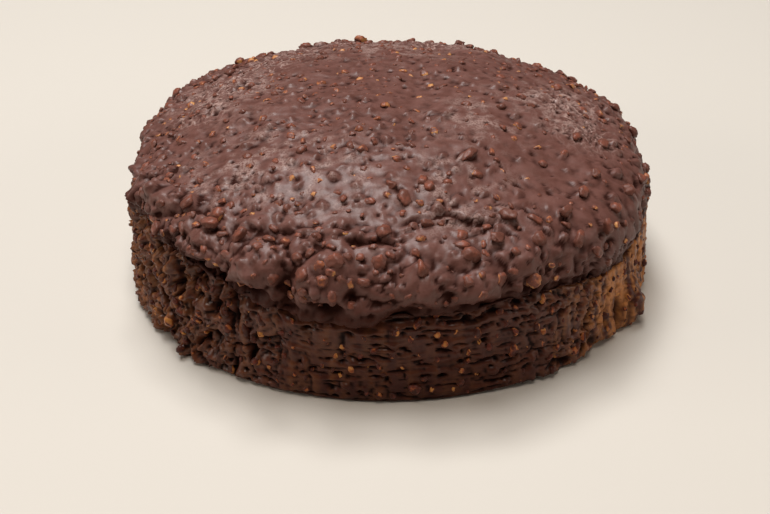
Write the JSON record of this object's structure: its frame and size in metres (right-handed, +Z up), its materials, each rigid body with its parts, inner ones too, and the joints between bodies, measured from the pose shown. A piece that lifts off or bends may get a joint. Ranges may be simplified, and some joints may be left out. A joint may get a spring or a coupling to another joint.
{
  "type": "sachertorte cake",
  "caption": "Round uncut chocolate cake with a domed top, under a poured dark glaze full of chopped hazelnuts, on a flat underside.",
  "frame": {"origin": "middle of the flat underside", "axes": "+Z up through the top; -Y towards the side that faces the viewer"},
  "size_m": [0.2155, 0.2162, 0.0759],
  "materials": {
    "nut_glaze": "satin"
  },
  "bodies": {
    "root": {"glazed_cake": "nut_glaze"}
  },
  "joints": []
}
